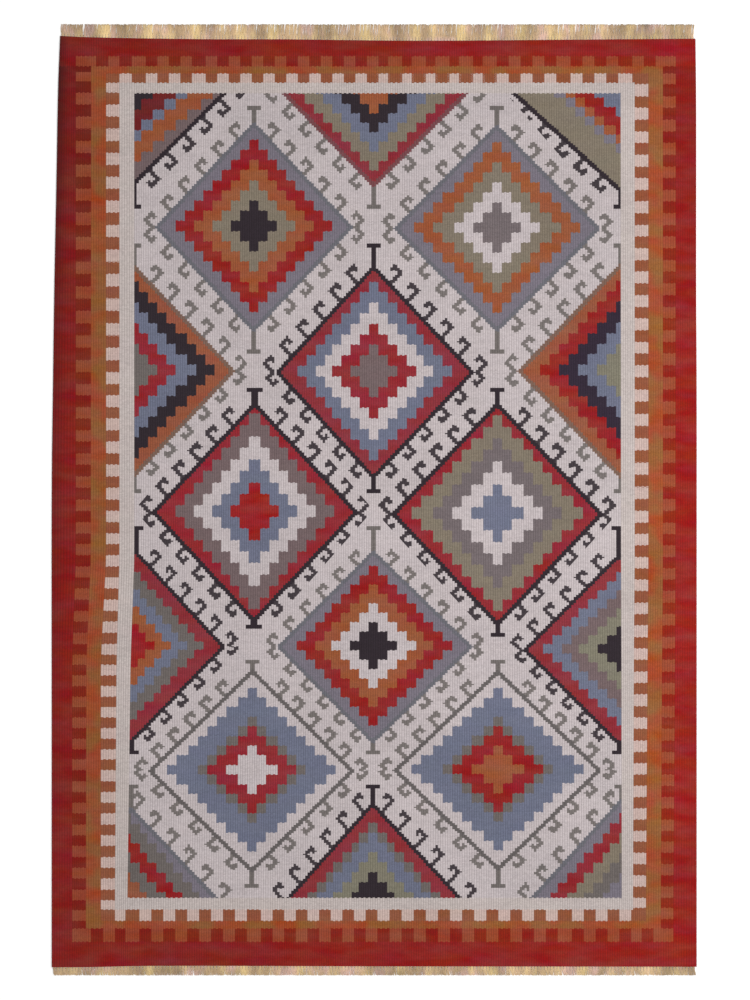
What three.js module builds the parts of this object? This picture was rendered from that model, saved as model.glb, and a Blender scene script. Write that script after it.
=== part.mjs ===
// A flat-woven kilim rug that lies on a floor: one cloth, and the warp fringe at each of its two ends.
// Millimetres, +Z up. +Y runs along the rug, and the origin is on the floor under the rug's middle.
import * as THREE from "three";

// Cloth: 160 by 230 cm of flat weave, its edges rounded where the weft turns back.
const CLOTH_THICK = 4;
const EDGE_ROUND = 1.2;
const EDGE_STEPS = 2;
const SIDE_STEPS = 24;

// Where the four corners of the weave really lie: the upper end was woven narrower and a little askew.
const LOWER_LEFT = new THREE.Vector2(-800, -1160);
const LOWER_RIGHT = new THREE.Vector2(800, -1158.5);
const UPPER_RIGHT = new THREE.Vector2(797, 1144);
const UPPER_LEFT = new THREE.Vector2(-779, 1151);

// How far each side swells out past the straight line between its corners, or sinks in behind it.
// The sides run anticlockwise, and along goes from 0 at a side's first corner to 1 at its last.
const LOWER_BOW = [
  { along: 0.06, out: -0.6 },
  { along: 0.18, out: -3.6 },
  { along: 0.5, out: -1.8 },
  { along: 0.8, out: -1 },
];
const RIGHT_BOW = [
  { along: 0.38, out: 1.2 },
  { along: 0.62, out: 1.9 },
  { along: 0.73, out: 1 },
  { along: 0.92, out: 1.6 },
];
const UPPER_BOW = [
  { along: 0.2, out: -4.1 },
  { along: 0.44, out: -8.3 },
  { along: 0.64, out: -6.2 },
  { along: 0.78, out: -6.7 },
  { along: 0.94, out: -3.6 },
];
const LEFT_BOW = [
  { along: 0.06, out: 4.2 },
  { along: 0.16, out: 6.1 },
  { along: 0.27, out: 8.8 },
  { along: 0.38, out: 10 },
  { along: 0.5, out: 10.5 },
  { along: 0.75, out: 5.2 },
];

// Fringe: the warps leave the cloth in a narrow row of knots, then lie loose on the floor in locks.
const LOCK_COUNT = 100;
const LOCK_LEAN = 2.2;
const TOP_NARROWER = 0.62;
const STRIP_GAP = 0.3;
const STRIP_WIDE = 7;
const STRIP_THICK = 3.4;

// The tips were trimmed to a straight line across each end, and have frayed back from it unevenly since.
const UPPER_FRINGE = { outward: 1, trimLine: 1180, ragged: 6 };
const LOWER_FRINGE = { outward: -1, trimLine: -1180, ragged: 4 };

// A lock from root to tip: its width and height at three places along it.
const LOCK_STATIONS = [
  { along: 0, wide: 11.2, high: 3.1 },
  { along: 0.55, wide: 9.4, high: 2.6 },
  { along: 1, wide: 6, high: 1.8 },
];

// Colours of the whole as it reads from across a room: mixed madder reds, and undyed wool.
const CLOTH_COLOUR = 0x8c5548;
const FRINGE_COLOUR = 0xc2a988;

// The curve of one side, through its corners and its bows.
function sideCurve(from, to, bow) {
  const run = to.clone().sub(from);
  const outward = new THREE.Vector2(run.y, -run.x).normalize();
  const inner = bow.map(({ along, out }) =>
    from.clone().addScaledVector(run, along).addScaledVector(outward, out),
  );
  return new THREE.SplineCurve([from, ...inner, to]);
}

// The four sides, anticlockwise from the lower left corner.
function clothSides() {
  return {
    lower: sideCurve(LOWER_LEFT, LOWER_RIGHT, LOWER_BOW),
    right: sideCurve(LOWER_RIGHT, UPPER_RIGHT, RIGHT_BOW),
    upper: sideCurve(UPPER_RIGHT, UPPER_LEFT, UPPER_BOW),
    left: sideCurve(UPPER_LEFT, LOWER_LEFT, LEFT_BOW),
  };
}

// The woven cloth: its uneven outline, extruded to its thickness with rounded edges.
function clothGeometry(sides) {
  const outline = [sides.lower, sides.right, sides.upper, sides.left].flatMap((side) =>
    side.getPoints(SIDE_STEPS).slice(0, -1),
  );
  const cloth = new THREE.ExtrudeGeometry(new THREE.Shape(outline), {
    depth: CLOTH_THICK - 2 * EDGE_ROUND,
    bevelThickness: EDGE_ROUND,
    bevelSize: EDGE_ROUND,
    bevelOffset: -EDGE_ROUND,
    bevelSegments: EDGE_STEPS,
  });
  return cloth.translate(0, 0, EDGE_ROUND);
}

// A number from 0 to 1 that looks random from one lock to the next, and is 0 for the first lock.
function uneven(index, stride) {
  return 0.5 - 0.5 * Math.cos(index * stride);
}

// A column of points across the fringe, on one flank of a lock: on the cloth's side of the strip, then at the
// lock's root, middle and tip. Each point has its place on the floor, and the place and height of its top.
function lockFlank(side, place, flank, outward, tipY, lean) {
  const [root] = LOCK_STATIONS;
  const middle = side.getPointAt(place);
  const edge = side.getPointAt(place + (flank * root.wide) / 2 / side.getLength());
  const across = Math.sign(edge.x - middle.x);
  const near = { x: edge.x, topX: edge.x, y: edge.y + outward * STRIP_GAP, high: STRIP_THICK };
  const rootY = near.y + outward * STRIP_WIDE;
  const rest = LOCK_STATIONS.map(({ along, wide, high }) => {
    const axis = middle.x + lean * along * along;
    return {
      x: axis + (across * wide) / 2,
      topX: axis + (across * wide * TOP_NARROWER) / 2,
      y: THREE.MathUtils.lerp(rootY, tipY, along),
      high,
    };
  });
  return [near, ...rest];
}

// A closed solid from the four-cornered cells of a plan, each listed anticlockwise: a floor and a top for each
// cell, and a wall along each edge that only one cell has.
function cellGeometry(points, cells) {
  const count = points.length;
  const outerEdges = new Map();
  const faces = [];
  for (const cell of cells) {
    const [a, b, c, d] = cell;
    const [e, f, g, h] = cell.map((corner) => corner + count);
    faces.push(a, c, b, a, d, c, e, f, g, e, g, h);
    cell.forEach((from, corner) => {
      const to = cell[(corner + 1) % cell.length];
      if (!outerEdges.delete(`${to} ${from}`)) outerEdges.set(`${from} ${to}`, [from, to]);
    });
  }
  for (const [from, to] of outerEdges.values()) {
    faces.push(from, to, to + count, from, to + count, from + count);
  }
  const floor = points.flatMap(({ x, y }) => [x, y, 0]);
  const tops = points.flatMap(({ topX, y, high }) => [topX, y, high]);
  const solid = new THREE.BufferGeometry();
  solid.setAttribute("position", new THREE.Float32BufferAttribute([...floor, ...tops], 3));
  solid.setIndex(faces);
  solid.computeVertexNormals();
  return solid;
}

// The fringe of one end: a strip along the cloth's edge, with every lock growing out of it.
function fringeGeometry(side, { outward, trimLine, ragged }) {
  const points = [];
  const cells = [];
  const rows = LOCK_STATIONS.length + 1;
  for (let lock = 0; lock < LOCK_COUNT; lock += 1) {
    const place = (lock + 0.5) / LOCK_COUNT;
    const tipY = trimLine - outward * ragged * uneven(lock, 2.4);
    const lean = LOCK_LEAN * (2 * uneven(lock + 3, 1.7) - 1);
    const first = points.length;
    const second = first + rows;
    points.push(...lockFlank(side, place, -1, outward, tipY, lean));
    points.push(...lockFlank(side, place, 1, outward, tipY, lean));
    for (let row = 0; row < rows - 1; row += 1) {
      cells.push([second + row, first + row, first + row + 1, second + row + 1]);
    }
    if (lock > 0) {
      const before = first - rows;
      cells.push([first, before, before + 1, first + 1]);
    }
  }
  return cellGeometry(points, cells);
}

function namedMesh(name, geometry, colour) {
  const material = new THREE.MeshStandardMaterial({ color: colour, roughness: 0.95, metalness: 0 });
  const mesh = new THREE.Mesh(geometry, material);
  mesh.name = name;
  return mesh;
}

function buildRug() {
  const rug = new THREE.Group();
  const sides = clothSides();
  rug.add(namedMesh("kilim_cloth", clothGeometry(sides), CLOTH_COLOUR));
  rug.add(namedMesh("fringe_upper", fringeGeometry(sides.upper, UPPER_FRINGE), FRINGE_COLOUR));
  rug.add(namedMesh("fringe_lower", fringeGeometry(sides.lower, LOWER_FRINGE), FRINGE_COLOUR));
  return rug;
}

// Put the middle of the rug's own box on the origin, with its underside on the floor.
function centreOnFloor(rug) {
  const box = new THREE.Box3().setFromObject(rug);
  const middle = box.getCenter(new THREE.Vector3());
  rug.position.set(-middle.x, -middle.y, -box.min.z);
  return rug;
}

export default centreOnFloor(buildRug());
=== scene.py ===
# %% [markdown]
# # A flat-woven kilim rug, laid on a pale floor
# The real thing is one cloth, 160 by 230 cm. Cotton warps run the long way, and wool weft is beaten
# down over them until it hides them, so both faces show the same picture in fine ribs. The warps come
# out at both ends as a fringe. This lesson takes the packed model as its frame, and dresses it with a
# woven cloth and yarns.

import math

import bmesh
import bpy
import numpy as np
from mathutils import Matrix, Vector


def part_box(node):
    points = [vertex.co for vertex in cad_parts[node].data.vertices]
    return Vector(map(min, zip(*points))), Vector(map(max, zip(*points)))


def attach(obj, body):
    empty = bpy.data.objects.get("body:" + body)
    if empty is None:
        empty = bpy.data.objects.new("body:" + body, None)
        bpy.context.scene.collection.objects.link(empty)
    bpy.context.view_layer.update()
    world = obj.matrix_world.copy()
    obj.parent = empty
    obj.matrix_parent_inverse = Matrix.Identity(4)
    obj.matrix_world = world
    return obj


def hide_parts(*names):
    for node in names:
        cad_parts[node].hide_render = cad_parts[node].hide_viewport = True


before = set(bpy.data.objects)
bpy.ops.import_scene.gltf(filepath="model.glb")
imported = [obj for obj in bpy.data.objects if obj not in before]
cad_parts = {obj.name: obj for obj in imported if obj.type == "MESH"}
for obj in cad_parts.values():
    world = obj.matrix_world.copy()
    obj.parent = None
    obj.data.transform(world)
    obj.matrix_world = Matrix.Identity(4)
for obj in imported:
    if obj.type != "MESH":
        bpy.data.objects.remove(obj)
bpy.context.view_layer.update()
print("nodes:", sorted(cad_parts))

# %% [markdown]
# ## Looking straight down
# A rug is pictured from right above, so that its four sides stay straight. A long lens far away keeps
# the corners from spreading. Blender measures the lens against the longer side of the picture, its
# height here.

# %% The camera
LENS = 85.0
SENSOR = 36.0
VIEW_HEIGHT = 2.48
VIEW_CENTRE = (0.002, -0.0005)
FAR_CLIP = 60.0
CLOTH_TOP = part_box("kilim_cloth")[1][2]


def link(name, data):
    """A new object in the scene, with a mesh, a camera or a lamp as its data."""
    thing = bpy.data.objects.new(name, data)
    bpy.context.scene.collection.objects.link(thing)
    return thing


def make_camera():
    camera = link("overhead_camera", bpy.data.cameras.new("overhead_camera"))
    camera.data.lens = LENS
    camera.data.sensor_width = SENSOR
    camera.location = (*VIEW_CENTRE, CLOTH_TOP + VIEW_HEIGHT * LENS / SENSOR)
    camera.data.clip_end = FAR_CLIP
    bpy.context.scene.camera = camera
    return camera


print("camera height:", round(make_camera().location.z, 3), "m")

# %% [markdown]
# ## Soft light
# Four soft sources make even studio light: the pale room all round, a broad high sun whose wide disc
# blurs its shadows but still grazes the ribs, a big panel beyond the right side, and a weaker one
# overhead. Being near, the panels let the rug get a little darker towards the left and towards both
# ends.

# %% The light
ROOM_LEVEL = 0.6
HIGH_SUN = dict(energy=1.0, angle=math.radians(35), tilt=(math.radians(38), 0, math.radians(52)))
PANELS = {
    "side_panel": dict(energy=30.0, size=1.4, at=(2.2, 0.1, 2.2), aim=(0.1, 0.1, 0.0)),
    "overhead_panel": dict(energy=8.0, size=1.2, at=(0.1, 0.1, 2.2), aim=(0.1, 0.1, 0.0)),
}


def make_room():
    room = bpy.data.worlds.new("studio_room")
    room.use_nodes = True
    background = room.node_tree.nodes["Background"]
    background.inputs["Color"].default_value = (1.0, 1.0, 1.0, 1.0)
    background.inputs["Strength"].default_value = ROOM_LEVEL
    bpy.context.scene.world = room


def make_sun():
    sun = link("high_sun", bpy.data.lights.new("high_sun", "SUN"))
    sun.data.energy = HIGH_SUN["energy"]
    sun.data.angle = HIGH_SUN["angle"]
    sun.rotation_euler = HIGH_SUN["tilt"]


def make_panel(name, place):
    panel = link(name, bpy.data.lights.new(name, "AREA"))
    panel.data.energy = place["energy"]
    panel.data.size = place["size"]
    panel.location = place["at"]
    away = panel.location - type(panel.location)(place["aim"])
    panel.rotation_euler = away.to_track_quat("Z", "Y").to_euler()
    panel.visible_camera = False


make_room()
make_sun()
for panel_name, panel_place in PANELS.items():
    make_panel(panel_name, panel_place)
bpy.context.scene.view_settings.view_transform = "Standard"
print("lights:", len(bpy.data.lights))

# %% [markdown]
# ## The floor
# The floor is only a stage, so one wide bmesh grid is enough. It is a dull white backdrop that glows
# faintly.

# %% The floor
FLOOR_HALF = 30.0
FLOOR_FINISH = {
    "Base Color": (0.96, 0.96, 0.96, 1.0),
    "Roughness": 0.9,
    "Specular IOR Level": 0.1,
    "Emission Color": (1.0, 1.0, 1.0, 1.0),
    "Emission Strength": 0.08,
}


def mesh_of(shape, name):
    """Turns a finished bmesh into a mesh, and frees it."""
    mesh = bpy.data.meshes.new(name)
    shape.to_mesh(mesh)
    shape.free()
    return mesh


def new_material(name):
    material = bpy.data.materials.new(name)
    material.use_nodes = True
    return material, material.node_tree


def set_shader(tree, finish):
    """Sets the shader's own numbers and colours, the ones that are the same all over."""
    shader = tree.nodes["Principled BSDF"]
    for name, value in finish.items():
        shader.inputs[name].default_value = value
    return shader


def make_floor():
    sheet = bmesh.new()
    bmesh.ops.create_grid(sheet, x_segments=4, y_segments=4, size=FLOOR_HALF)
    mesh = mesh_of(sheet, "studio_floor")
    paint, tree = new_material("floor_paint")
    set_shader(tree, FLOOR_FINISH)
    mesh.materials.append(paint)
    return link("studio_floor", mesh)


floor = make_floor()
print("floor:", tuple(round(side, 1) for side in floor.dimensions))

# %% [markdown]
# ## Counting the weave
# A weaver works by count, and so does this rug: ribs across, one for each pair of warps, and beads
# along, one for each pair of weft passes over a rib. Every border, tooth and lozenge starts and ends on
# a whole rib and bead. On the loom the cloth drew in unevenly, so the same rib lies a few millimetres
# to one side further up. The tables give where the counted places lie on the real rug, in millimetres
# from its middle.

# %% Counted places
MM = 0.001
LEFT_RIBS = (0, 8, 15, 21, 27, 33)
COLUMN_RIBS = (33, 85, 137, 189, 241)
RIGHT_RIBS = (241, 247, 253, 259, 264, 273)
LOWER_BEADS = (0, 20, 30, 36, 45, 55)
ROW_BEADS = (158, 257, 365, 476, 592)
UPPER_BEADS = (698, 706, 714, 720, 728, 743)
RIBS = RIGHT_RIBS[-1]
BEADS = UPPER_BEADS[-1]
COUNTED_RIBS = LEFT_RIBS + COLUMN_RIBS[1:-1] + RIGHT_RIBS
COUNTED_BEADS = LOWER_BEADS + ROW_BEADS + UPPER_BEADS

LOWER_Y = (-1159, -1097, -1064, -1045, -1017, -988)
ROW_Y = (-668, -360, -25, 319, 679)
UPPER_Y = (1009, 1035, 1058, 1076, 1101, 1147)
COUNTED_Y = LOWER_Y + ROW_Y + UPPER_Y

# Each row of X gives, at one of these heights, the counted ribs between the two selvedges.
SURVEY_Y = (-987, -397, -149, 1009)
SURVEY_X = (
    (-749, -715, -678, -643, -612, -304, -4, 308, 614, 642, 674, 711, 742),
    (-749, -714, -678, -639, -604, -302, -3, 307, 613, 644, 678, 714, 746),
    (-740, -703, -665, -632, -595, -300, -2, 306, 612, 646, 680, 716, 747),
    (-740, -702, -665, -632, -595, -298, -1, 304, 611, 646, 680, 716, 748),
)
bead_length = (UPPER_Y[-1] - LOWER_Y[0]) / BEADS
print(RIBS, "ribs and", BEADS, "beads, a bead is", round(bead_length, 2), "mm long")

# %% [markdown]
# ## The four sides
# The outline has to be the model's own. Its walls stand upright between the two rounded edges, so the
# points at half height are the outline, and each side is a table of them.

# %% The outline of the frame
WALL_REACH = 0.9 * MM


def read_points(mesh):
    points = np.zeros(len(mesh.vertices) * 3)
    mesh.vertices.foreach_get("co", points)
    return points.reshape(-1, 3)


def write_points(mesh, x, y, z):
    mesh.vertices.foreach_set("co", np.stack([x, y, z], axis=-1).ravel())
    mesh.update()


def cloth_outline():
    """Each side of the packed cloth, as sorted places along it and how far out it lies there."""
    points = read_points(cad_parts["kilim_cloth"].data)
    upright = abs(points[:, 2] - CLOTH_TOP / 2) < WALL_REACH
    wall = np.unique(np.round(points[upright][:, :2], 6), axis=0)
    loop = wall[np.argsort(np.arctan2(wall[:, 1], wall[:, 0]))]
    corner_ways = ((-1, -1), (1, -1), (1, 1), (-1, 1))
    corners = [int(np.argmax(loop @ np.array(way))) for way in corner_ways]
    tables = {}
    for number, name in enumerate(("lower", "right", "upper", "left")):
        count = (corners[(number + 1) % 4] - corners[number]) % len(loop) + 1
        side = np.roll(loop, -corners[number], axis=0)[:count]
        along = number % 2
        side = side[np.argsort(side[:, along])]
        tables[name] = (side[:, along], side[:, 1 - along])
    return tables


OUTLINE = cloth_outline()


def edge_at(side, place):
    return np.interp(place, *OUTLINE[side])


print({name: len(table[0]) for name, table in OUTLINE.items()})


# %% From the count to the floor
def reach_ends(x, plain_y, bead):
    """The y of each place, once the outermost bands are drawn in or out to the cloth's own two ends."""
    low_share = np.clip(1 - bead / LOWER_BEADS[1], 0, 1)
    high_share = np.clip((bead - UPPER_BEADS[-2]) / (BEADS - UPPER_BEADS[-2]), 0, 1)
    y = plain_y + low_share * (edge_at("lower", x) - LOWER_Y[0] * MM)
    y = y + high_share * (edge_at("upper", x) - UPPER_Y[-1] * MM)
    y = np.where(bead > UPPER_BEADS[-2], np.maximum(y, UPPER_Y[-2] * MM), y)
    return np.where(bead < LOWER_BEADS[1], np.minimum(y, LOWER_Y[1] * MM), y)


def place_of(rib, bead):
    """Where a counted place lies on the floor, in metres: arrays of x and of y."""
    plain_y = np.interp(bead, COUNTED_BEADS, np.array(COUNTED_Y) * MM)
    survey = np.array(SURVEY_X).T * MM
    columns = [edge_at("left", plain_y)]
    columns += [np.interp(plain_y, np.array(SURVEY_Y) * MM, column) for column in survey]
    columns += [edge_at("right", plain_y)]
    x = np.zeros_like(plain_y)
    for start, end, left, right in zip(COUNTED_RIBS, COUNTED_RIBS[1:], columns, columns[1:]):
        inside = (rib >= start) & (rib <= end)
        share = (rib - start) / (end - start)
        x = np.where(inside, left + (right - left) * share, x)
    return x, reach_ends(x, plain_y, bead)


corner_x, corner_y = place_of(np.array([0.0, RIBS]), np.array([float(BEADS), 0.0]))
print("corners:", np.round(corner_x, 4), np.round(corner_y, 4))

# %% [markdown]
# ## The cloth
# A flat plane with a picture of ribs would do from far off, but low light shows real relief, so every
# rib is modelled: four strips of faces each, lifted by a cosine. One bmesh grid in plain counting units
# is extruded once, which gives both faces and the walls. The walls' edges are subdivided to round them,
# and at the end all points move from the count to their places on the floor. The lowest crests touch
# the floor.

# %% The ribbed sheet
STRIPS = 4
BAND_ROWS = 34
WALL_CUTS = 3


def row_beads():
    """The beads at which the sheet has a row of points: all counted ones, and more between far ones."""
    rows = []
    step = BEADS / BAND_ROWS
    for start, end in zip(COUNTED_BEADS, COUNTED_BEADS[1:]):
        pieces = max(1, round((end - start) / step))
        rows += list(np.linspace(start, end, pieces, endpoint=False))
    return np.array(rows + [BEADS])


ROW_PLACES = row_beads()


def upright_edges(shape):
    """The edges that run up a shape one unit high."""
    return [edge for edge in shape.edges if abs(edge.verts[0].co.z - edge.verts[1].co.z) > 0.5]


def counting_sheet():
    """A closed slab in counting units: x and y are -1 to 1 over the ribs and rows, and z is 0 to 1."""
    slab = bmesh.new()
    rows = len(ROW_PLACES) - 1
    bmesh.ops.create_grid(slab, x_segments=RIBS * STRIPS, y_segments=rows, size=1.0)
    lifted = bmesh.ops.extrude_face_region(slab, geom=slab.faces[:])
    upper = [part for part in lifted["geom"] if isinstance(part, bmesh.types.BMVert)]
    bmesh.ops.translate(slab, verts=upper, vec=(0.0, 0.0, 1.0))
    walls = upright_edges(slab)
    bmesh.ops.subdivide_edges(slab, edges=walls, cuts=WALL_CUTS, use_grid_fill=True)
    bmesh.ops.recalc_face_normals(slab, faces=slab.faces[:])
    return mesh_of(slab, "kilim_sheet")


sheet_mesh = counting_sheet()
print("faces:", len(sheet_mesh.polygons), "rows:", len(ROW_PLACES))

# %% Laying it on the floor
RIB_DEPTH = 0.7 * MM
EDGE_ROUND = 1.2 * MM
RIPPLE = 0.9 * MM
# How closely the waves follow each other, how far they swerve, and how closely the swerves follow.
WAVES_ACROSS = dict(pace=3.1, swerve=0.6, swerve_pace=2.3)
WAVES_ALONG = dict(pace=2.7, swerve=0.8, swerve_pace=1.9)
WAVES_SHIFT = 1.1


def ripple(x, y):
    """The slight unevenness of a cloth that lies on a floor, never below it."""
    across = WAVES_ACROSS["swerve"] * np.sin(y * WAVES_ACROSS["swerve_pace"])
    along = WAVES_ALONG["swerve"] * np.sin(x * WAVES_ALONG["swerve_pace"])
    slow = np.sin(x * WAVES_ACROSS["pace"] + across)
    slow = slow + np.sin(y * WAVES_ALONG["pace"] + WAVES_SHIFT + along)
    return RIPPLE * (0.5 + 0.25 * slow)


def sheet_counts(points):
    rib = np.round((points[:, 0] + 1) / 2 * RIBS * STRIPS) / STRIPS
    row = np.round((points[:, 1] + 1) / 2 * (len(ROW_PLACES) - 1)).astype(int)
    return rib, ROW_PLACES[row]


def lay_sheet(mesh):
    points = read_points(mesh)
    rib, bead = sheet_counts(points)
    x, y = place_of(rib, bead)
    groove = RIB_DEPTH * (0.5 + 0.5 * np.cos(2 * math.pi * rib))
    turn = (points[:, 2] - 0.5) * math.pi
    middle = CLOTH_TOP / 2
    height = np.where(points[:, 2] > 0.5, 1.0, -1.0) * (middle - groove)
    rim = (rib == 0) | (rib == RIBS) | (bead == 0) | (bead == BEADS)
    height = np.where(rim, (middle - groove) * np.sin(turn), height)
    inset = np.where(rim, EDGE_ROUND * (1 - np.cos(turn)), 0.0)
    x = x + inset * ((rib == 0) * 1.0 - (rib == RIBS) * 1.0)
    y = y + inset * ((bead == 0) * 1.0 - (bead == BEADS) * 1.0)
    write_points(mesh, x, y, middle + height + ripple(x, y))
    return rib, bead


rib_of_point, bead_of_point = lay_sheet(sheet_mesh)
print("thickness:", round(CLOTH_TOP / MM, 2), "mm, ribs", round(RIB_DEPTH / MM, 2), "mm deep")

# %% [markdown]
# ## Marking the sheet for its pattern
# The dyes have to follow the cloth and not the room, so the sheet carries its own maps. "weave" holds
# the rib and the bead. "chart" holds the column and the row of the lattice of lozenges. "teeth" counts
# the teeth along the two long sides, and along the two ends. The last map lays the faces out flat for
# baking.

# %% The maps
# The lattice's column at each counted rib, and its row at each counted bead.
COLUMN_CHART = (COLUMN_RIBS, (0, 1, 2, 3, 4))
ROW_CHART = ((LOWER_BEADS[-1], *ROW_BEADS, UPPER_BEADS[1]), (6, 5, 4, 3, 2, 1, 0))
# How many teeth lie before each counted row or column, on the left, right, upper and lower border.
LEFT_TEETH = ((49, 158, 257, 365, 476, 592, 703, 719), (36, 29.7, 23.8, 17.7, 11.7, 5.8, 0, -1))
RIGHT_TEETH = ((51, 158, 257, 365, 476, 592, 700), (35, 29.0, 23.6, 17.7, 12.0, 5.8, 0))
UPPER_TEETH = ((33, 85, 137, 189, 241), (0.3, 5.3, 10.6, 15.8, 20.8))
LOWER_TEETH = ((33, 85, 137, 189, 241), (0.3, 5.4, 10.5, 15.8, 20.8))
BAKE_MARGIN = 0.002


def straight(place, table):
    """np.interp that goes on in a straight line beyond both ends of its table."""
    places, values = (np.array(column, float) for column in table)
    first_rise = (values[1] - values[0]) / (places[1] - places[0])
    last_rise = (values[-1] - values[-2]) / (places[-1] - places[-2])
    before = values[0] + (place - places[0]) * first_rise
    after = values[-1] + (place - places[-1]) * last_rise
    inside = np.interp(place, places, values)
    return np.where(place < places[0], before, np.where(place > places[-1], after, inside))


def teeth_before(place, far, near_table, far_table):
    """How many teeth lie before a place, by the table of the side that its face is nearer to."""
    return np.where(far, straight(place, far_table), straight(place, near_table))


def add_map(mesh, name, across, along):
    layer = mesh.uv_layers.new(name=name)
    layer.data.foreach_set("uv", np.stack([across, along], axis=1).ravel())


def mark_sheet(mesh, rib, bead):
    corner = np.zeros(len(mesh.loops), int)
    mesh.loops.foreach_get("vertex_index", corner)
    rib, bead = rib[corner], bead[corner]
    add_map(mesh, "weave", rib, bead)
    add_map(mesh, "chart", straight(rib, COLUMN_CHART), straight(bead, ROW_CHART))
    face_rib = np.floor(rib.reshape(-1, 4).mean(axis=1)).clip(0, RIBS - 1).repeat(4) + 0.5
    face_bead = bead.reshape(-1, 4).mean(axis=1).repeat(4)
    side = teeth_before(bead, face_rib >= RIBS / 2, LEFT_TEETH, RIGHT_TEETH)
    end = teeth_before(face_rib, face_bead > BEADS / 2, LOWER_TEETH, UPPER_TEETH)
    add_map(mesh, "teeth", side, end)
    flat = read_points(mesh)[corner, :2]
    low, high = flat.min(axis=0), flat.max(axis=0)
    baked = BAKE_MARGIN + (1 - 2 * BAKE_MARGIN) * (flat - low) / (high - low)
    add_map(mesh, "OFBake", baked[:, 0], baked[:, 1])


mark_sheet(sheet_mesh, rib_of_point, bead_of_point)
kilim = link("kilim_weave", sheet_mesh)
sheet_mesh.shade_smooth()
print("maps:", [layer.name for layer in sheet_mesh.uv_layers])

# %% [markdown]
# ## Sums in shader nodes
# The pattern is arithmetic on the counts, which takes many Math nodes. This small class makes them: a
# Wire is an output, and adding, scaling or comparing two wires puts in the node that does it and gives
# its output.


# %% A wire
class Wire:
    def __init__(self, tree, socket):
        self.tree = tree
        self.socket = socket

    def sum(self, operation, *others):
        """A new wire: the result of one Math node on this wire and others, or plain numbers."""
        node = self.tree.nodes.new("ShaderNodeMath")
        node.operation = operation
        for slot, value in zip(node.inputs, (self, *others)):
            if isinstance(value, Wire):
                self.tree.links.new(value.socket, slot)
            else:
                slot.default_value = value
        return Wire(self.tree, node.outputs[0])

    def __add__(self, other):
        return self.sum("ADD", other)

    def __sub__(self, other):
        return self.sum("SUBTRACT", other)

    def __mul__(self, other):
        return self.sum("MULTIPLY", other)

    def __truediv__(self, other):
        return self.sum("DIVIDE", other)

    def above(self, other):
        return self.sum("GREATER_THAN", other)

    def below(self, other):
        return self.sum("LESS_THAN", other)

    def larger(self, other):
        return self.sum("MAXIMUM", other)

    def smaller(self, other):
        return self.sum("MINIMUM", other)

    def floor(self):
        return self.sum("FLOOR")

    def round(self):
        return self.sum("ROUND")

    def size(self):
        return self.sum("ABSOLUTE")

    def between(self, low, high):
        return self.above(low) * self.below(high)

    def within(self, low, high):
        """The wire itself, held between two limits."""
        return self.larger(low).smaller(high)

    def opposite(self):
        return self * -1.0 + 1.0

    def wave(self):
        """Goes from 0 at whole numbers to 1 half way between them."""
        return (self * (2 * math.pi)).sum("COSINE") * -0.5 + 0.5


print("a wire can:", ", ".join(name for name in vars(Wire) if name[0] != "_"))

# %% [markdown]
# ## The dyes
# Dyes are easiest to name and to judge as they read on a screen, so they are written in screen values
# from 0 to 255. A shader works with light, so each one is turned to linear first, and divided by the
# level of light on the floor.

# %% The dye pots
LIGHT_LEVEL = 1.1
DYES = {
    "white": (193, 182, 183),
    "border_white": (193, 181, 177),
    "tooth_white": (199, 174, 166),
    "border_red": (143, 26, 20),
    "tooth_red": (136, 31, 8),
    "tooth_orange": (152, 70, 43),
    "border_rust": (160, 72, 38),
    "border_ochre": (146, 90, 46),
    "gap_orange": (144, 82, 55),
    "black": (44, 34, 41),
    "dark_red": (110, 26, 28),
    "red": (144, 36, 45),
    "vivid_red": (146, 27, 28),
    "dull_red": (139, 44, 53),
    "bright_red": (153, 24, 24),
    "flame": (145, 29, 26),
    "orange": (153, 83, 50),
    "brown_orange": (149, 82, 56),
    "blue": (108, 112, 132),
    "slate": (119, 112, 123),
    "navy": (46, 34, 50),
    "green": (128, 117, 102),
    "olive": (126, 121, 105),
    "moss": (108, 100, 97),
    "grey": (114, 96, 97),
    "mauve": (113, 102, 104),
    "hook_grey": (112, 105, 102),
    "outline_grey": (100, 94, 93),
    "outline_slate": (106, 105, 112),
    "outline_red": (118, 70, 74),
    "outline_brown": (122, 94, 81),
}


def to_light(share):
    """The light that a screen share of 0 to 1 stands for, by the curve that all screens use."""
    return share / 12.92 if share <= 0.04045 else ((share + 0.055) / 1.055) ** 2.4


def linear(dye):
    """A dye's colour as the shader needs it."""
    return (*(to_light(value / 255) / LIGHT_LEVEL for value in DYES[dye]), 1.0)


print(len(DYES), "dyes, white as light:", [round(level, 3) for level in linear("white")[:3]])

# %% [markdown]
# ## The chart of the lozenges
# Eighteen lozenges stand in a lattice, and the border cuts those at its edge. Each was woven by eye, so
# no two are quite alike, and a weaver's chart lists them one by one in ribs and beads. The rings are
# counted in steps from the heart, and the outline, which often slipped a bead or two, has its own
# middle.

# %% Kinds of stems and of hook rows
# How many rows of the lattice the upper and the lower stem reach.
PLAIN = (0.88, 0.88)
SHORT_STEM = (0.84, 0.88)
LONG_STEM = (0.88, 0.92)
LONGEST_STEM = (0.88, 0.94)
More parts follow.
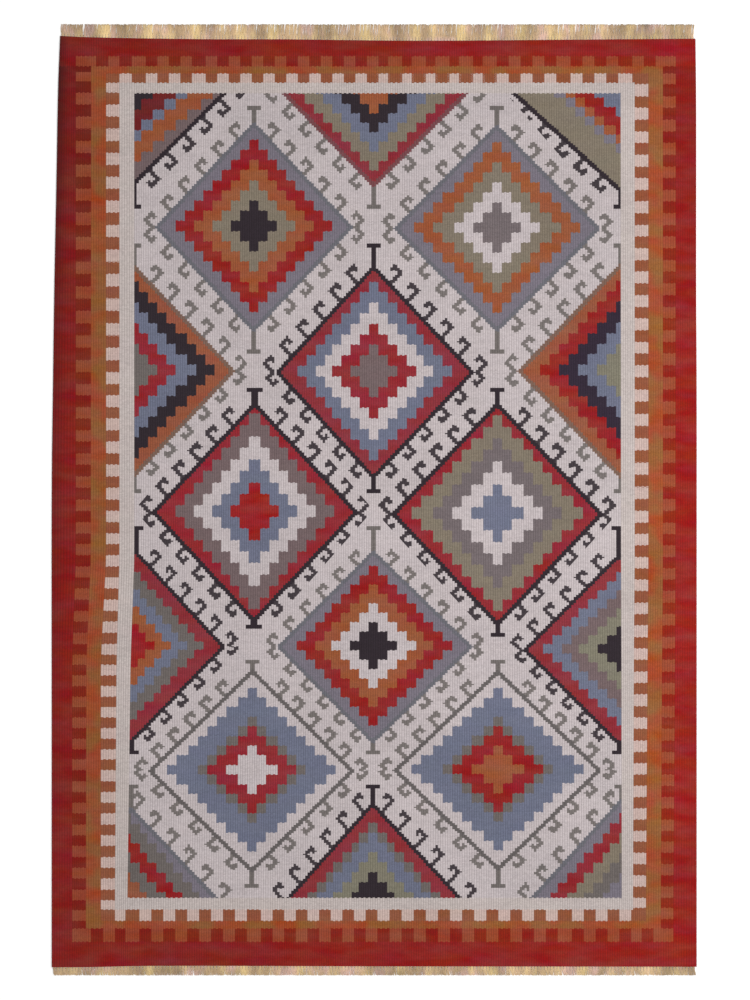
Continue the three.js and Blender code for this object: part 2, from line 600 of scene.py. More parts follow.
# How far before the middle of its side a row of hooks begins, how far apart the hooks are, and how far
# they are lifted off the outline, in the slanted units that the step on hooks explains.
EVEN = (10.5, 3.5, 0.0)
RAISED = (10.5, 3.45, 0.3)
SUNK = (10.5, 3.5, -0.3)
CLOSE = (10.4, 3.25, 0.15)
CLOSE_SUNK = (10.3, 3.3, -0.3)
CLOSEST = (10.9, 3.15, 0.0)
EARLY_SUNK = (11.3, 3.6, -0.3)
LATE = (9.7, 3.4, 0.0)
LATE_SUNK = (8.9, 3.2, -0.3)
LATE_RAISED = (9.5, 3.6, 0.1)
LATE_HIGH = (9.8, 3.6, 0.6)
LATEST = (8.3, 3.6, 0.3)
# The steps after which the rings of most lozenges end.
COUNTED = (2, 4, 6, 8)
print("an even row has a hook every", EVEN[1], "slanted units")

# %% The chart
# The heart, one step, the steps after which the rings end, the outline's middle and half sizes, the
# stems, and the rows of hooks on the two upper and on the two lower sides.
LOZENGES = (
    ((33, 706), (5.2, 8.4), (2, 4, 5, 7), (33, 709), (45, 83), PLAIN, LATE, LATE),
    ((137, 708.5), (4.0, 7.6), (3, 5, 7, 9), (137, 705.5), (43, 81), PLAIN, LATE, LATE),
    ((245, 705), (4.2, 7.3), (4, 6, 7, 8), (241, 706), (49.5, 86), PLAIN, LATE_SUNK, LATE_SUNK),
    ((85, 592), (4.0, 8.1), COUNTED, (85, 591), (42, 82), SHORT_STEM, EVEN, EVEN),
    ((189, 591), (4.1, 8.0), COUNTED, (189, 590), (42.5, 81), SHORT_STEM, EVEN, EVEN),
    ((33, 477), (4.1, 8.3), COUNTED, (33, 476), (43, 83), PLAIN, RAISED, SUNK),
    ((137, 476), (3.9, 8.4), COUNTED, (137, 475), (41.5, 84), PLAIN, RAISED, SUNK),
    ((241, 477), (4.0, 8.4), COUNTED, (241, 476), (42.5, 84.5), PLAIN, RAISED, EVEN),
    ((85.5, 364), (4.1, 9.2), COUNTED, (85.5, 363), (44, 86.5), PLAIN, CLOSE, CLOSE_SUNK),
    ((189, 362.5), (4.2, 9.2), COUNTED, (189, 361.5), (43.5, 88), LONGEST_STEM, CLOSE, CLOSE_SUNK),
    ((34, 256.5), (3.5, 6.9), COUNTED, (33.5, 255.5), (39, 76), PLAIN, RAISED, EARLY_SUNK),
    ((137, 256.5), (3.9, 7.5), COUNTED, (137, 255.5), (40.5, 75.5), PLAIN, EVEN, SUNK),
    ((240.5, 254), (3.8, 7.2), COUNTED, (240, 253), (39.5, 75), PLAIN, RAISED, CLOSE_SUNK),
    ((85, 157.5), (4.2, 7.7), (2, 4, 5, 8), (85, 156.5), (43, 79.5), LONG_STEM, CLOSEST, EARLY_SUNK),
    ((189, 158), (4.2, 7.6), (2, 4, 5, 8), (189, 157), (42.5, 78.5), LONG_STEM, CLOSEST, EARLY_SUNK),
    ((32, 56), (3.7, 7.8), COUNTED, (34, 46), (40.5, 80), PLAIN, LATEST, LATEST),
    ((137, 56), (3.7, 7.9), (2, 4, 6, 7), (137, 51), (38, 79), PLAIN, LATE_HIGH, LATE_HIGH),
    ((242, 55.5), (3.7, 7.9), COUNTED, (241, 50), (40, 83), PLAIN, LATE_RAISED, LATE_RAISED),
)
# The dyes of the heart, of the four rings round it, of the outline and of the hooks, in the same order.
LOZENGE_DYES = (
    "black dark_red blue orange grey black black",
    "orange black blue green dull_red outline_red hook_grey",
    "blue flame orange slate green black black",
    "black green orange vivid_red slate outline_slate hook_grey",
    "mauve white green orange slate outline_slate hook_grey",
    "moss red blue black brown_orange outline_brown hook_grey",
    "grey red white blue dull_red black black",
    "olive blue navy flame brown_orange outline_brown hook_grey",
    "bright_red blue white grey red black black",
    "blue white mauve green red black black",
    "bright_red orange blue moss dull_red black black",
    "black white orange vivid_red slate outline_slate hook_grey",
    "black olive grey blue dull_red black black",
    "white red moss blue white outline_grey hook_grey",
    "orange vivid_red moss blue white outline_grey hook_grey",
    "brown_orange moss vivid_red moss slate outline_slate hook_grey",
    "black olive blue moss dull_red black black",
    "slate moss green red slate outline_slate hook_grey",
)
print(len(LOZENGES), "lozenges")

# %% Looking a lozenge up
# A ramp holds numbers from 0 to 1, so each count is divided by one of these, and multiplied again.
RIB_SCALE, BEAD_SCALE, STEP_SCALE = 300.0, 800.0, 16.0
HOOK_SCALE, LIFT_SCALE = 20.0, 2.0
LATTICE_RIM = 0.001


def split(tree, socket):
    node = tree.nodes.new("ShaderNodeSeparateXYZ")
    tree.links.new(socket, node.inputs[0])
    return [Wire(tree, output) for output in node.outputs]


def surface_map(tree, name):
    node = tree.nodes.new("ShaderNodeUVMap")
    node.uv_map = name
    return split(tree, node.outputs[0])[:2]


def lookup(tree, index, rows):
    """A colour ramp with one flat stop for each lozenge, which gives three numbers or a dye."""
    node = tree.nodes.new("ShaderNodeValToRGB")
    ramp = node.color_ramp
    ramp.interpolation = "CONSTANT"
    ramp.elements.remove(ramp.elements[1])
    for number, row in enumerate(rows):
        stop = ramp.elements[0] if number == 0 else ramp.elements.new(number / len(rows))
        stop.position = number / len(rows)
        stop.color = row
    tree.links.new(((index + 0.5) / float(len(rows))).socket, node.inputs[0])
    return node.outputs[0]


def nearest_lozenge(tree):
    """The nearest lozenge's number, in reading order, and how many rows of the lattice away it lies."""
    column, row = surface_map(tree, "chart")
    column = column.within(LATTICE_RIM, 4.0 - LATTICE_RIM)
    row = row.within(LATTICE_RIM, 6.0 - LATTICE_RIM)
    rising = ((column + row) * 0.5).round()
    falling = ((column - row) * 0.5).round()
    # Two rows hold five lozenges, so the number is two and a half rows and half a column.
    return rising * 3.0 - falling * 2.0, (row - rising + falling).size()


def chart_numbers(tree, index):
    """The nearest lozenge's four pairs of counts, its ring ends, its stems and its two hook rows."""
    tables = [[] for _ in range(7)]
    for heart, step, ends, middle, half, stems, *hook_rows in LOZENGES:
        for table, (rib, bead), end in zip(tables, (heart, step, middle, half), ends):
            table.append((rib / RIB_SCALE, bead / BEAD_SCALE, end / STEP_SCALE, 1))
        tables[4].append((*stems, 0, 1))
        for table, (first, pitch, lift) in zip(tables[5:], hook_rows):
            table.append((first / HOOK_SCALE, pitch / HOOK_SCALE, lift / LIFT_SCALE + 0.5, 1))
    found = [split(tree, lookup(tree, index, rows)) for rows in tables]
    pairs = [(rib * RIB_SCALE, bead * BEAD_SCALE) for rib, bead, _ in found[:4]]
    ends = [end * STEP_SCALE for _, _, end in found[:4]]
    hooks = [
        (first * HOOK_SCALE, pitch * HOOK_SCALE, (lift - 0.5) * LIFT_SCALE)
        for first, pitch, lift in found[5:]
    ]
    return pairs, ends, found[4], hooks


print("a lookup holds up to", RIB_SCALE, "ribs and", BEAD_SCALE, "beads")

# %% [markdown]
# ## Hooks
# A row of small hooks stands on each side of an outline, and the rows of two neighbours face each other
# over the white ground. They are drawn in slanted units of a tenth of the lozenge: how far a place is
# outside the outline, and how far along the side it is, from the point at the side of the lozenge to
# the one at its top.

# %% Hooks and stems
SIDE_UNITS = 10.0
HOOKS_A_SIDE = 6
HOOK_MARGIN = 0.6
LINE = 0.29
HOOK_REACH = 2.2
BAR = dict(start=-0.3, end=1.5, low=1.62)
DROP = dict(start=0.9, low=1.1)
HOOK_COVER = 0.95
STEM_HALF = 1.2
CROSSBAR_HALF = 3.3
CROSSBAR_DEEP = 0.03


def hook_mask(outside, along, pitch, lift):
    """A row of hooks, each a stem on the outline, a bar towards the point above, and a short drop."""
    number = ((along + HOOK_MARGIN) / pitch).floor().within(0.0, HOOKS_A_SIDE - 1.0)
    place = along - number * pitch
    out = outside - lift
    stem = place.size().below(LINE) * outside.above(0.0) * out.below(HOOK_REACH)
    bar = place.between(BAR["start"], BAR["end"]) * out.between(BAR["low"], HOOK_REACH)
    drop = place.between(DROP["start"], BAR["end"]) * out.between(DROP["low"], HOOK_REACH)
    return stem.larger(bar).larger(drop) * HOOK_COVER


def stem_mask(outside, across, rows_away, reach):
    """The stem on the upper or lower point of each lozenge, and the crossbar that closes it."""
    stem = across.size().below(STEM_HALF) * outside.above(0.0) * rows_away.below(reach)
    bar = across.size().below(CROSSBAR_HALF) * rows_away.between(reach - CROSSBAR_DEEP, reach)
    return stem.larger(bar)


print("hooks reach", round(100 * HOOK_REACH / SIDE_UNITS), "% of a lozenge beyond its outline")

# %% The field
RINGS_INWARDS = (3, 2, 1, 0)
LAST_RING, OUTLINE_DYE, HOOK_DYE = 4, 5, 6


def over(tree, under, mask, top):
    """The colour top laid over the colour under, where the mask is 1."""
    node = tree.nodes.new("ShaderNodeMix")
    node.data_type = "RGBA"
    tree.links.new(mask.socket, node.inputs[0])
    for slot, colour in ((node.inputs[6], under), (node.inputs[7], top)):
        if isinstance(colour, bpy.types.NodeSocket):
            tree.links.new(colour, slot)
        else:
            slot.default_value = colour
    return node.outputs[2]


def field_pattern(tree, rib, bead):
    """The colour of the field inside the borders, at the middle of each bead."""
    index, rows_away = nearest_lozenge(tree)
    (heart, step, middle, half), ends, stems, hooks = chart_numbers(tree, index)
    names = [row.split() for row in LOZENGE_DYES]
    dye = [lookup(tree, index, [linear(row[place]) for row in names]) for place in range(7)]
    across, along = rib - middle[0], bead - middle[1]
    upper = along.above(0.0)
    wide, high = across.size() / half[0], along.size() / half[1]
    outside = (wide + high) * SIDE_UNITS - SIDE_UNITS
    slant = (high - wide) * SIDE_UNITS
    stem_reach = stems[1] + (stems[0] - stems[1]) * upper
    first, pitch, lift = (below + (above - below) * upper for above, below in zip(*hooks))
    ribs_off, beads_off = (rib - heart[0]) / step[0], (bead - heart[1]) / step[1]
    steps = ribs_off.round().size() + beads_off.round().size()
    hook_rows = hook_mask(outside, slant + first, pitch, lift)
    colour = over(tree, linear("white"), hook_rows, dye[HOOK_DYE])
    colour = over(tree, colour, stem_mask(outside, across, rows_away, stem_reach), dye[HOOK_DYE])
    colour = over(tree, colour, outside.below(0.0), dye[LAST_RING])
    for ring in RINGS_INWARDS:
        inside = steps.below(ends[ring] + 0.5) * outside.below(0.0)
        colour = over(tree, colour, inside, dye[ring])
    return over(tree, colour, outside.size().below(LINE), dye[OUTLINE_DYE])


print("rings in each lozenge:", len(RINGS_INWARDS) + 1)

# %% [markdown]
# ## Borders
# Going inwards there are a red band, an orange one whose teeth bite into the red, and a white one whose
# teeth bite into the orange. Counting how many band edges lie outside a place gives its band, first for
# the long sides and then for the ends, and the smaller of the two counts wins, which mitres the corners
# squarely. The red and the orange are bleached a little towards the right, the red darkens upwards
# until a fresh lot ends the rug, the red along the left selvedge is darkened with painted shade, most
# of all at its upper end, and the orange came from a rusty and an ochre pot.

# %% Bands and teeth
BEADS_PER_TOOTH = 18.2
TOOTH_HALF = 0.25


def edges_passed(place, low_edges, high_edges):
    """How many band edges lie between a place and the nearer of two opposite sides."""
    low_first, *low_others = [place.above(float(edge)) for edge in low_edges[1:]]
    high_first, *high_others = [place.below(float(edge)) for edge in high_edges[:-1]]
    return sum(low_others, low_first).smaller(sum(high_others, high_first))


def on_tooth(count):
    return (count - count.round()).size().below(TOOTH_HALF)


print("a tooth is", round(2 * TOOTH_HALF * BEADS_PER_TOOTH, 1), "beads long")

# %% The borders
RED_BLEACH = 0.17
RED_UPPER_DARK = 0.28
UPPER_DARK_FROM = 0.3
EDGE_SHADE_RIBS = 5.0
EDGE_SHADE, EDGE_SHADE_UPWARDS = 0.24, 0.2
ORANGE_BLEACH = 0.07
POT_SCALE = 13.0
POT_CONTRAST, POT_LEVEL = 6.0, 2.5


def noise(tree, place, scale, detail=2.0, roughness=0.5):
    node = tree.nodes.new("ShaderNodeTexNoise")
    tree.links.new(place, node.inputs["Vector"])
    node.inputs["Scale"].default_value = scale
    node.inputs["Detail"].default_value = detail
    node.inputs["Roughness"].default_value = roughness
    return Wire(tree, node.outputs[0])


def scaled(tree, colour, level):
    node = tree.nodes.new("ShaderNodeVectorMath")
    node.operation = "SCALE"
    if isinstance(colour, bpy.types.NodeSocket):
        tree.links.new(colour, node.inputs[0])
    else:
        node.inputs[0].default_value = colour[:3]
    tree.links.new(level.socket, node.inputs["Scale"])
    return node.outputs[0]


def border_levels(tree, rib, bead, room_place):
    """How strong the red and the orange are at a place."""
    across, along, _ = split(tree, room_place)
    worn = (along - UPPER_DARK_FROM).larger(0.0) * bead.below(float(UPPER_BEADS[3]))
    # Painted shade: the red is darkened along the left selvedge, most of all towards its upper end.
    painted_edge_shade = (rib / -EDGE_SHADE_RIBS + 1.0).larger(0.0) * (along * EDGE_SHADE_UPWARDS + EDGE_SHADE)
    red_level = across * RED_BLEACH - worn * RED_UPPER_DARK - painted_edge_shade + 1.0
    return red_level, across * ORANGE_BLEACH + 1.0


def orange_pots(tree, room_place, level):
    """The orange band, part rust and part ochre."""
    ochre = (noise(tree, room_place, POT_SCALE) * POT_CONTRAST - POT_LEVEL).within(0.0, 1.0)
    return scaled(tree, over(tree, linear("border_rust"), ochre, linear("border_ochre")), level)


def border_pattern(tree, rib, bead, bead_shift, field, room_place):
    side_band = edges_passed(rib, LEFT_RIBS, RIGHT_RIBS)
    end_band = edges_passed(bead, LOWER_BEADS, UPPER_BEADS)
    band = side_band.smaller(end_band)
    side_teeth, end_teeth = surface_map(tree, "teeth")
    side_tooth = on_tooth(side_teeth - bead_shift / BEADS_PER_TOOTH) * side_band.below(end_band)
    end_tooth = on_tooth(end_teeth) * end_band.below(side_band)
    tooth = side_tooth.larger(end_tooth)
    red_level, orange_level = border_levels(tree, rib, bead, room_place)
    tooth_red = scaled(tree, linear("tooth_red"), red_level)
    tooth_orange = scaled(tree, linear("tooth_orange"), orange_level)
    inner_bands = (
        over(tree, tooth_orange, tooth, tooth_red),
        orange_pots(tree, room_place, orange_level),
        over(tree, linear("gap_orange"), tooth, linear("tooth_white")),
        linear("border_white"),
        field,
    )
    colour = scaled(tree, linear("border_red"), red_level)
    for number, inner in enumerate(inner_bands):
        colour = over(tree, colour, band.above(number + 0.5), inner)
    return colour


print("bands:", len(LEFT_RIBS) - 1)

# %% [markdown]
# ## Wool
# Hand-spun, pot-dyed wool is never one colour. The tone changes from bead to bead, a little more from
# one weft pass to the next, and slowly over the cloth as a new batch of yarn comes in. The grooves
# between the ribs are darkened as painted shade. The bump adds what is too fine for the mesh: the beads
# and the yarn's fibres.

# %% Tone and dye lots
BEAD_TONE = 0.16
PASS_TONE = 0.14
PASS_SCALE = (0.02, 0.9)
BATCH_TONE = 0.16
BATCH_SCALE = 5.0
GROOVE_PAINTED_SHADE = 0.24
HUE_DRIFT = 0.03
HUE_SCALE = (9.0, 22.0)
STRENGTH_DRIFT = 0.2
STRENGTH_SCALE = (11.0, 30.0)


def join(tree, *wires):
    node = tree.nodes.new("ShaderNodeCombineXYZ")
    for slot, wire in zip(node.inputs, wires):
        if isinstance(wire, Wire):
            tree.links.new(wire.socket, slot)
        else:
            slot.default_value = wire
    return node.outputs[0]


def stretched_noise(across, along, scales, layer, detail=2.0, roughness=0.5):
    """Noise with a scale of its own each way. Another layer gives another noise."""
    tree = across.tree
    place = join(tree, across * scales[0], along * scales[1], layer)
    return noise(tree, place, 1.0, detail, roughness)


def scatter(tree, place):
    """A number from 0 to 1 that changes at random from one whole place to the next."""
    node = tree.nodes.new("ShaderNodeTexWhiteNoise")
    node.noise_dimensions = "3D"
    tree.links.new(place, node.inputs["Vector"])
    return Wire(tree, node.outputs["Value"])


def wool_tone(tree, rib, rib_start, bead_start, room_place):
    beads = scatter(tree, join(tree, rib_start, bead_start, 0.0)) - 0.5
    passes = stretched_noise(rib, bead_start, PASS_SCALE, 3.0, 3.0, 0.7) - 0.5
    batches = noise(tree, room_place, BATCH_SCALE, 4.0, 0.6) - 0.5
    groove = rib.wave().opposite()
    tone = beads * BEAD_TONE + passes * (2 * PASS_TONE) + batches * (2 * BATCH_TONE) + 1.0
    # Painted shade: the colour is darkened in the grooves between the ribs.
    return tone * (groove * groove * -GROOVE_PAINTED_SHADE + 1.0)


def drift(x, y, scales, layer, middle, width):
    return stretched_noise(x, y, scales, layer) * width + (middle - width / 2)


def dye_lots(tree, colour, room_place):
    """The colour as if dyed in several pots: its hue and strength wander, most from weft to weft."""
    node = tree.nodes.new("ShaderNodeHueSaturation")
    x, y, _ = split(tree, room_place)
    hue = drift(x, y, HUE_SCALE, 0.0, 0.5, HUE_DRIFT)
    strength = drift(x, y, STRENGTH_SCALE, 5.0, 1.0, STRENGTH_DRIFT)
    tree.links.new(hue.socket, node.inputs["Hue"])
    tree.links.new(strength.socket, node.inputs["Saturation"])
    tree.links.new(colour, node.inputs["Color"])
    return node.outputs["Color"]


print("the tone of single beads varies by", round(100 * BEAD_TONE), "%")

# %% Relief and sheen
BEAD_POWER = 0.6
BEAD_LIFT, FIBRE_LIFT, FLUFF_LIFT = 0.6, 0.35, 0.35
FIBRE_SCALE = (2.0, 9.0)
FLUFF_SCALE = 900.0
BUMP_STRENGTH = 0.8
YARN_FINISH = {
    "Specular IOR Level": 0.25,
    "Sheen Roughness": 0.45,
    "Sheen Tint": (1.0, 0.95, 0.92, 1.0),
}


def wool_height(tree, rib, bead, bead_share, room_place):
    """The height of the wool over the ribs: round beads, the fibres of the yarn, and fluff."""
    beads = bead_share.wave().sum("POWER", BEAD_POWER)
    fibres = stretched_noise(rib, bead, FIBRE_SCALE, 0.0, 4.0, 0.7)
    fluff = noise(tree, room_place, FLUFF_SCALE, 3.0, 0.7)
    return beads * BEAD_LIFT + fibres * FIBRE_LIFT + fluff * FLUFF_LIFT


def finish_yarn(tree, colour, height, roughness, distance, sheen):
    """Joins colour, relief and roughness to the shader, with a soft sheen."""
    shader = set_shader(tree, YARN_FINISH | {"Sheen Weight": sheen})
    bump = tree.nodes.new("ShaderNodeBump")
    bump.inputs["Distance"].default_value = distance
    bump.inputs["Strength"].default_value = BUMP_STRENGTH
    tree.links.new(height.socket, bump.inputs["Height"])
    tree.links.new(bump.outputs[0], shader.inputs["Normal"])
    tree.links.new(colour, shader.inputs["Base Color"])
    tree.links.new(roughness.socket, shader.inputs["Roughness"])


print("fluff repeats about every", round(1000 / FLUFF_SCALE, 1), "mm")

# %% The woven wool
WOOL_ROUGHNESS = dict(scale=40.0, change=0.16, least=0.8)
WOOL_BUMP = 0.5 * MM
WOOL_SHEEN = 0.06


def weave_count(tree):
    """The rib and the bead at a place, where both start, and the middle of the bead."""
    rib, bead = surface_map(tree, "weave")
    rib_start = rib.floor()
    # On every other rib the beads lie half a bead lower, as plain weave makes them.
    odd = rib_start * 0.5 - (rib_start * 0.5).floor()
    bead_start = (bead + odd).floor()
    return rib, bead, rib_start, bead_start, bead_start + 0.5 - odd


def make_woven_wool():
    material, tree = new_material("dyed_wool_weave")
    rib, bead, rib_start, bead_start, bead_middle = weave_count(tree)
    room_place = tree.nodes.new("ShaderNodeTexCoord").outputs["Object"]
    rib_middle, shift = rib_start + 0.5, bead_middle - bead
    field = field_pattern(tree, rib_middle, bead_middle)
    colour = border_pattern(tree, rib_middle, bead_middle, shift, field, room_place)
    colour = dye_lots(tree, colour, room_place)
    tone = wool_tone(tree, rib, rib_start, bead_start, room_place)
    height = wool_height(tree, rib, bead, shift + 0.5, room_place)
    rough = noise(tree, room_place, WOOL_ROUGHNESS["scale"]) * WOOL_ROUGHNESS["change"]
    rough = rough + WOOL_ROUGHNESS["least"]
    finish_yarn(tree, scaled(tree, colour, tone), height, rough, WOOL_BUMP, WOOL_SHEEN)
    return material


wool = make_woven_wool()
kilim.data.materials.append(wool)
print("nodes in the weave:", len(wool.node_tree.nodes))

# %% [markdown]
# ## The fringe
# At each end the warps are tied in knots close against the last weft, so that it can't work loose, and
# their ends lie free on the floor. One yarn is a closed bmesh cone with rings along it, and one knot a
# ring spun round its yarns. The Array modifier repeats each, and then every copy is bent to its own
# path.

# %% One yarn and one knot
YARN_SIDES = 6
YARN_RINGS = 7
KNOT_RING = 0.42
KNOT_RING_SIDES = 5
KNOT_STEPS = 8


def one_yarn():
    """A closed six-sided yarn along y from 0 to 1, one unit in radius."""
    yarn = bmesh.new()
    round_bar = dict(segments=YARN_SIDES, radius1=1.0, radius2=1.0, depth=1.0)
    bmesh.ops.create_cone(yarn, cap_ends=True, cap_tris=False, **round_bar)
    long_edges = upright_edges(yarn)
    bmesh.ops.subdivide_edges(yarn, edges=long_edges, cuts=YARN_RINGS, use_grid_fill=True)
    bmesh.ops.translate(yarn, verts=yarn.verts[:], vec=(0.0, 0.0, 0.5))
    turn = np.array(((1.0, 0.0, 0.0), (0.0, 0.0, 1.0), (0.0, -1.0, 0.0)))
    for point in yarn.verts:
        point.co = turn @ np.array(point.co)
    bmesh.ops.recalc_face_normals(yarn, faces=yarn.faces[:])
    return mesh_of(yarn, "one_yarn")


def one_knot():
    """A closed ring round the y axis, one unit in radius to the middle of its own thickness."""
    knot = bmesh.new()
    section = dict(segments=KNOT_RING_SIDES, radius=KNOT_RING)
    ring = bmesh.ops.create_circle(knot, cap_ends=False, **section)
    bmesh.ops.translate(knot, verts=ring["verts"], vec=(1.0, 0.0, 0.0))
    bmesh.ops.spin(
        knot,
        geom=knot.verts[:] + knot.edges[:],
        cent=(0.0, 0.0, 0.0),
        axis=(0.0, 1.0, 0.0),
        angle=2 * math.pi,
        steps=KNOT_STEPS,
        use_merge=True,
        use_normal_flip=False,
        use_duplicate=False,
    )
    bmesh.ops.remove_doubles(knot, verts=knot.verts[:], dist=1e-4)
    bmesh.ops.recalc_face_normals(knot, faces=knot.faces[:])
    return mesh_of(knot, "one_knot")


def repeated(mesh, count):
    """Many copies of a small mesh, all in one place for now, by an Array modifier."""
    stack = link("stack", mesh)
    array = stack.modifiers.new("copies", "ARRAY")
    array.count = count
    array.use_relative_offset = False
    array.use_constant_offset = True
    array.constant_offset_displace = (0.0, 0.0, 0.0)
    depsgraph = bpy.context.evaluated_depsgraph_get()
    made = bpy.data.meshes.new_from_object(stack.evaluated_get(depsgraph))
    bpy.data.objects.remove(stack)
    return made


print("yarn:", len(one_yarn().polygons), "faces, knot:", len(one_knot().polygons), "faces")

# %% Where the knots and the yarns lie
FRINGES = {
    "fringe_upper": dict(outward=1, side="upper", trim=1.180, ragged=0.003, seed=11),
    "fringe_lower": dict(outward=-1, side="lower", trim=-1.180, ragged=0.002, seed=23),
}
KNOTS = 200
YARNS_A_KNOT = 5
YARNS = KNOTS * YARNS_A_KNOT
KNOT_MARGIN = 4.0 * MM
KNOT_OUT = 3.6 * MM
LEAN = 2.2 * MM
ROOT_INSIDE = 2.0 * MM
FREE_AFTER = 20 * MM
# How far the yarns of a knot spread, in knot pitches: in the knot, and what the free end adds.
GATHERED, SPREAD, SPREAD_PACE = 0.62, 0.42, 2.2
TIP_POWER = 1.5
SWING = 0.35 * MM
SWING_GROWTH = 3
WIGGLE = 0.5 * MM
WIGGLE_TURNS = (5, 11)
ANY_TURN = 6.3


def knot_places(fringe, node):
    low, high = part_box(node)
    x = np.linspace(low[0] + KNOT_MARGIN, high[0] - KNOT_MARGIN - LEAN, KNOTS)
    return x, edge_at(fringe["side"], x)


def yarn_paths(along, fringe, node, dice):
    """The middle line of every yarn, from inside the cloth's edge to its tip, and how free it is."""
    knot_x, knot_y = (value.repeat(YARNS_A_KNOT)[:, None] for value in knot_places(fringe, node))
    seat = (np.tile(np.arange(YARNS_A_KNOT), KNOTS)[:, None] + 0.5) / YARNS_A_KNOT - 0.5
    cut = fringe["outward"] * fringe["ragged"] * dice.random((YARNS, 1)) ** TIP_POWER
    root = knot_y - fringe["outward"] * ROOT_INSIDE
    y = root + (fringe["trim"] - cut - root) * along
    free = np.clip((abs(y - knot_y) - KNOT_OUT) / FREE_AFTER, 0, 1) * (along > 0.1)
    pitch = (knot_x[-1] - knot_x[0]) / (KNOTS - 1)
    gather = GATHERED + SPREAD * np.clip(free * SPREAD_PACE, 0, 1)
    swing = dice.normal(0, SWING, (YARNS, 1)) * free * SWING_GROWTH
    turns = dice.uniform(*WIGGLE_TURNS, (YARNS, 1))
    wiggle = WIGGLE * np.sin(along * turns + dice.uniform(0, ANY_TURN, (YARNS, 1))) * free
    x = knot_x + seat * pitch * gather + swing + wiggle + LEAN * along**2
    return x, y, free


first_x, next_x = knot_places(FRINGES["fringe_upper"], "fringe_upper")[0][:2]
print("knots are", round((next_x - first_x) / MM, 2), "mm apart")

# %% Bending the yarns
YARN_THICK = 2.3 * MM
YARN_RANGE = (0.85, 1.12)
TAPER = 0.06
PLY_TURN = 9.0
PLY_BULGE = 0.16
KNOT_HEIGHT = 2.0 * MM
SINK = 0.8 * MM
SINK_PACE = 1.6
PILED = 0.9 * MM
YARN_FLOOR = 0.02 * MM


def bend_yarns(mesh, fringe, node):
    """Moves every copied yarn on to its own path, with the two bulges of its plies turning round it."""
    dice = np.random.default_rng(fringe["seed"])
    points = read_points(mesh).reshape(YARNS, -1, 3)
    along = points[:, :, 1]
    x, y, free = yarn_paths(along, fringe, node, dice)
    radius = YARN_THICK / 2 * dice.uniform(*YARN_RANGE, (YARNS, 1)) * (1 - TAPER * along**3)
    turn = dice.uniform(0, ANY_TURN, (YARNS, 1)) + PLY_TURN * along
    angle = np.arctan2(points[:, :, 2], points[:, :, 0])
    radius = radius * (1 + PLY_BULGE * np.cos(2 * (angle - turn)))
    piled = dice.uniform(0, PILED, (YARNS, 1)) * free
    middle = KNOT_HEIGHT - SINK * np.clip(free * SINK_PACE, 0, 1) + piled
    z = np.maximum(middle + points[:, :, 2] * radius, YARN_FLOOR)
    write_points(mesh, x + points[:, :, 0] * radius, y, z)


print("a yarn is", round(YARN_THICK / MM, 1), "mm thick")

# %% Setting the knots, and the two fringes
KNOT_WIDE = 3.3 * MM
KNOT_HIGH = 1.15 * MM
KNOT_LONG = 2.4 * MM
KNOT_LIFT = 1.5
KNOT_RANGE = (0.9, 1.1)
KNOT_SLANT = 0.35
KNOT_FLOOR = 0.05 * MM


def set_knots(mesh, fringe, node):
    dice = np.random.default_rng(fringe["seed"] + 1)
    points = read_points(mesh).reshape(KNOTS, -1, 3)
    x, y = (value[:, None] for value in knot_places(fringe, node))
    size = dice.uniform(*KNOT_RANGE, (KNOTS, 1))
    slant = dice.uniform(-KNOT_SLANT, KNOT_SLANT, (KNOTS, 1))
    across = x + points[:, :, 0] * KNOT_WIDE * size
    high = (points[:, :, 2] + KNOT_LIFT) * KNOT_HIGH * size
    out = KNOT_OUT * size + points[:, :, 1] / KNOT_RING * KNOT_LONG / 2 * size
    out = out + slant * points[:, :, 0] * MM
    write_points(mesh, across, y + fringe["outward"] * out, np.maximum(high, KNOT_FLOOR))


def make_fringe(node):
    fringe = FRINGES[node]
    yarns = repeated(one_yarn(), YARNS)
    bend_yarns(yarns, fringe, node)
    knots = repeated(one_knot(), KNOTS)
    set_knots(knots, fringe, node)
    both = bmesh.new()
    both.from_mesh(yarns)
    both.from_mesh(knots)
    if fringe["outward"] < 0:
        bmesh.ops.reverse_faces(both, faces=both.faces[:])
    mesh = mesh_of(both, node + "_yarns")
    mesh.shade_smooth()
    return link(node + "_yarns", mesh)


fringes = {node: make_fringe(node) for node in FRINGES}
print({name: len(piece.data.polygons) for name, piece in fringes.items()})

# %% [markdown]
# ## Warp yarn
# The warps are undyed, and go from pinkish tan to straw yellow from one bunch to the next. Two plies
# twisted together leave slanting grooves, which the bump draws as slanting waves.

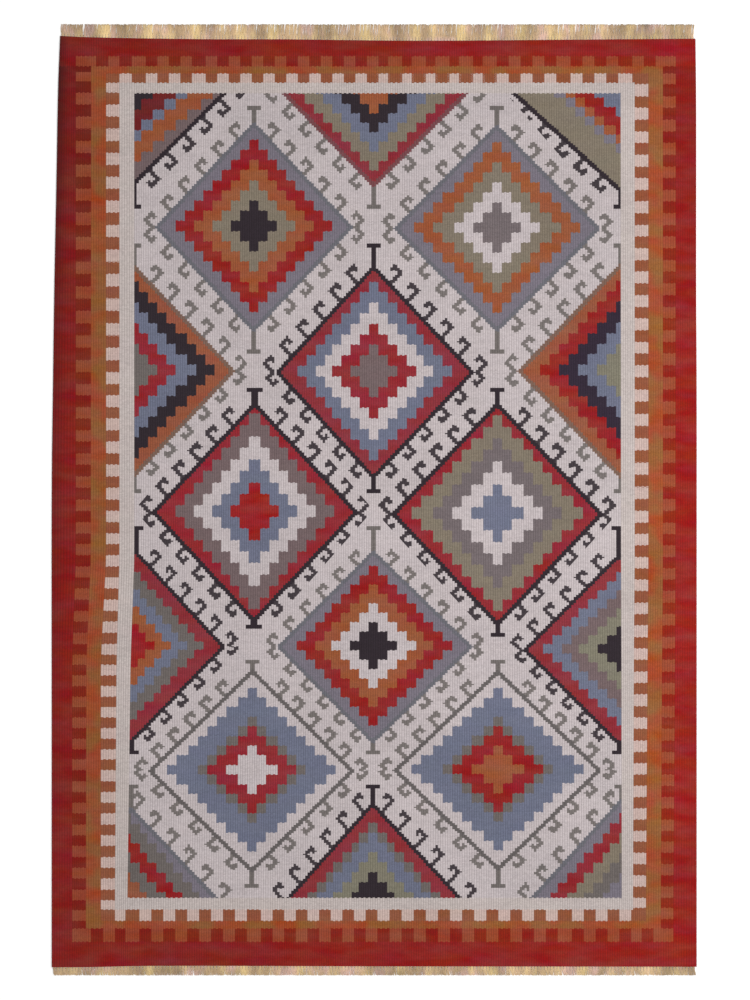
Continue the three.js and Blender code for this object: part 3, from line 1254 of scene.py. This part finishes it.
# %% The warp yarn
YARN_TAN = (0.5, 0.35, 0.21, 1.0)
YARN_STRAW = (0.66, 0.49, 0.245, 1.0)
YARN_PINK = (0.58, 0.39, 0.31, 1.0)
STRAW = dict(scales=(26.0, 6.0), layer=0.0, detail=2.0, contrast=6.0, level=2.8)
PINK = dict(scales=(30.0, 20.0), layer=9.0, detail=1.0, contrast=6.0, level=2.9)
BUNCH_TONE, BUNCH_SCALE, BUNCH_LAYER = 1.7, (24.0, 9.0), 4.0
FINE_TONE, FINE_SCALE, FINE_DEPTH_SCALE = 0.4, (900.0, 160.0), 900.0
TONE_LEVEL = 0.79
PLY_SCALE = (420.0, 260.0)
PLY_LIFT, FINE_LIFT = 0.7, 0.5
YARN_ROUGHNESS = dict(change=0.15, least=0.78)
YARN_BUMP = 0.3 * MM
YARN_SHEEN = 0.1


def bunches(x, y, kind):
    """Where the yarns are of one kind, as a mask with soft edges."""
    spread = stretched_noise(x, y, kind["scales"], kind["layer"], kind["detail"])
    return (spread * kind["contrast"] - kind["level"]).within(0.0, 1.0)


def make_warp_yarn():
    material, tree = new_material("undyed_warp_yarn")
    x, y, z = split(tree, tree.nodes.new("ShaderNodeTexCoord").outputs["Object"])
    colour = over(tree, YARN_TAN, bunches(x, y, PINK), YARN_PINK)
    colour = over(tree, colour, bunches(x, y, STRAW), YARN_STRAW)
    fine = stretched_noise(x, y, FINE_SCALE, z * FINE_DEPTH_SCALE, 3.0)
    slow = stretched_noise(x, y, BUNCH_SCALE, BUNCH_LAYER, 3.0)
    colour = scaled(tree, colour, (slow - 0.5) * BUNCH_TONE + fine * FINE_TONE + TONE_LEVEL)
    plies = (x * PLY_SCALE[0] + y * PLY_SCALE[1]).wave()
    height = plies * PLY_LIFT + fine * FINE_LIFT
    rough = fine * YARN_ROUGHNESS["change"] + YARN_ROUGHNESS["least"]
    finish_yarn(tree, colour, height, rough, YARN_BUMP, YARN_SHEEN)
    return material


warp_yarn = make_warp_yarn()
for piece in fringes.values():
    piece.data.materials.append(warp_yarn)
print("nodes in the yarn:", len(warp_yarn.node_tree.nodes))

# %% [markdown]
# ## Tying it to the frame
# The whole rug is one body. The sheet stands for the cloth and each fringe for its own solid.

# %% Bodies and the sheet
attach(kilim, "root")
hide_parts("kilim_cloth")
for node, piece in fringes.items():
    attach(piece, "root")
    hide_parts(node)
print("pieces:", [kilim.name, *(piece.name for piece in fringes.values())])

# %% [markdown]
# The cloth may stand a little proud in height, and no more.
